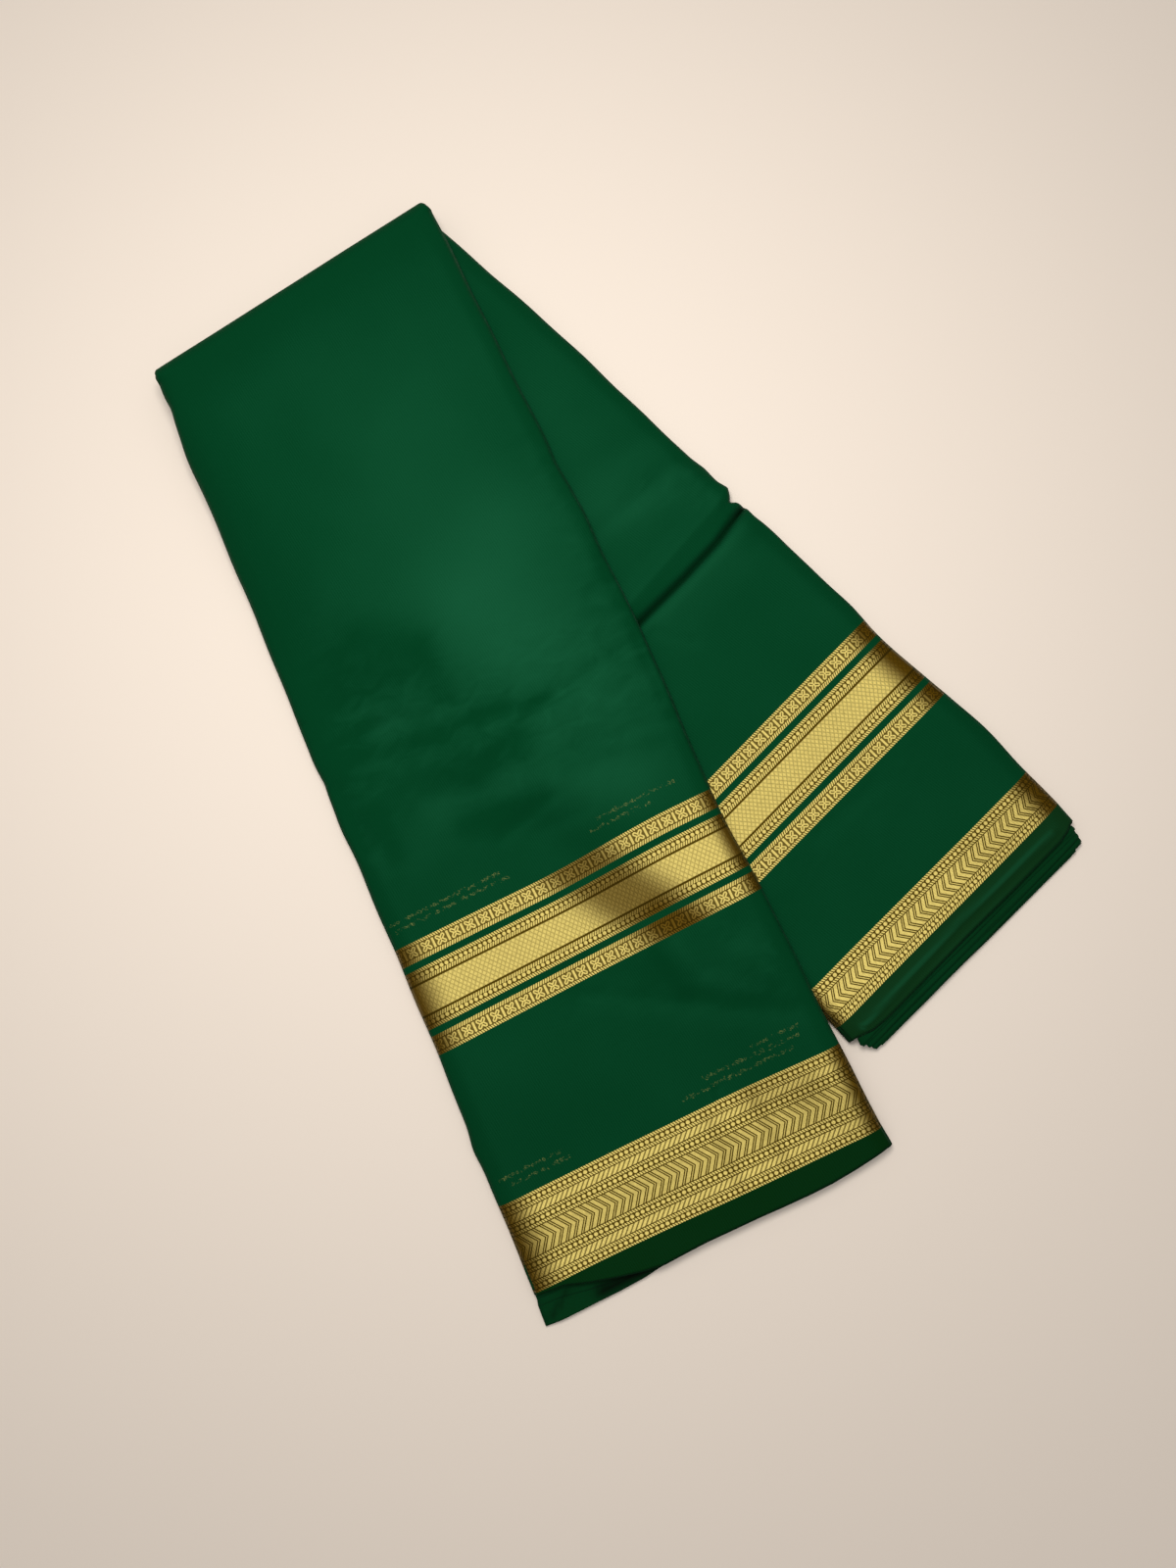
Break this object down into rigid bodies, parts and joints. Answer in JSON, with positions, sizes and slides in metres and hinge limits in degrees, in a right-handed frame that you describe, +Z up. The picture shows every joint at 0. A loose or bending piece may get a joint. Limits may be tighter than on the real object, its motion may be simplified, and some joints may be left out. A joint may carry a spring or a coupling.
{
  "type": "folded saree",
  "caption": "Saree folded lengthwise into a narrow pack and turned over once at a slant, with its border bands across both legs.",
  "frame": {"origin": "middle of the underside of the whole folded saree, on the table", "axes": "+Z up from the table, +X to the right and +Y away from the viewer, towards the turned fold"},
  "size_m": [0.5416, 0.6488, 0.0286],
  "materials": {
    "silk_wrap": "matte silk crepe",
    "silk_wrap_back": "matte silk crepe",
    "silk_layers": "matte silk crepe"
  },
  "bodies": {
    "root": {"front_stretch": "silk_wrap", "back_stretch": "silk_wrap_back", "inner_layers": "silk_layers"}
  },
  "joints": []
}
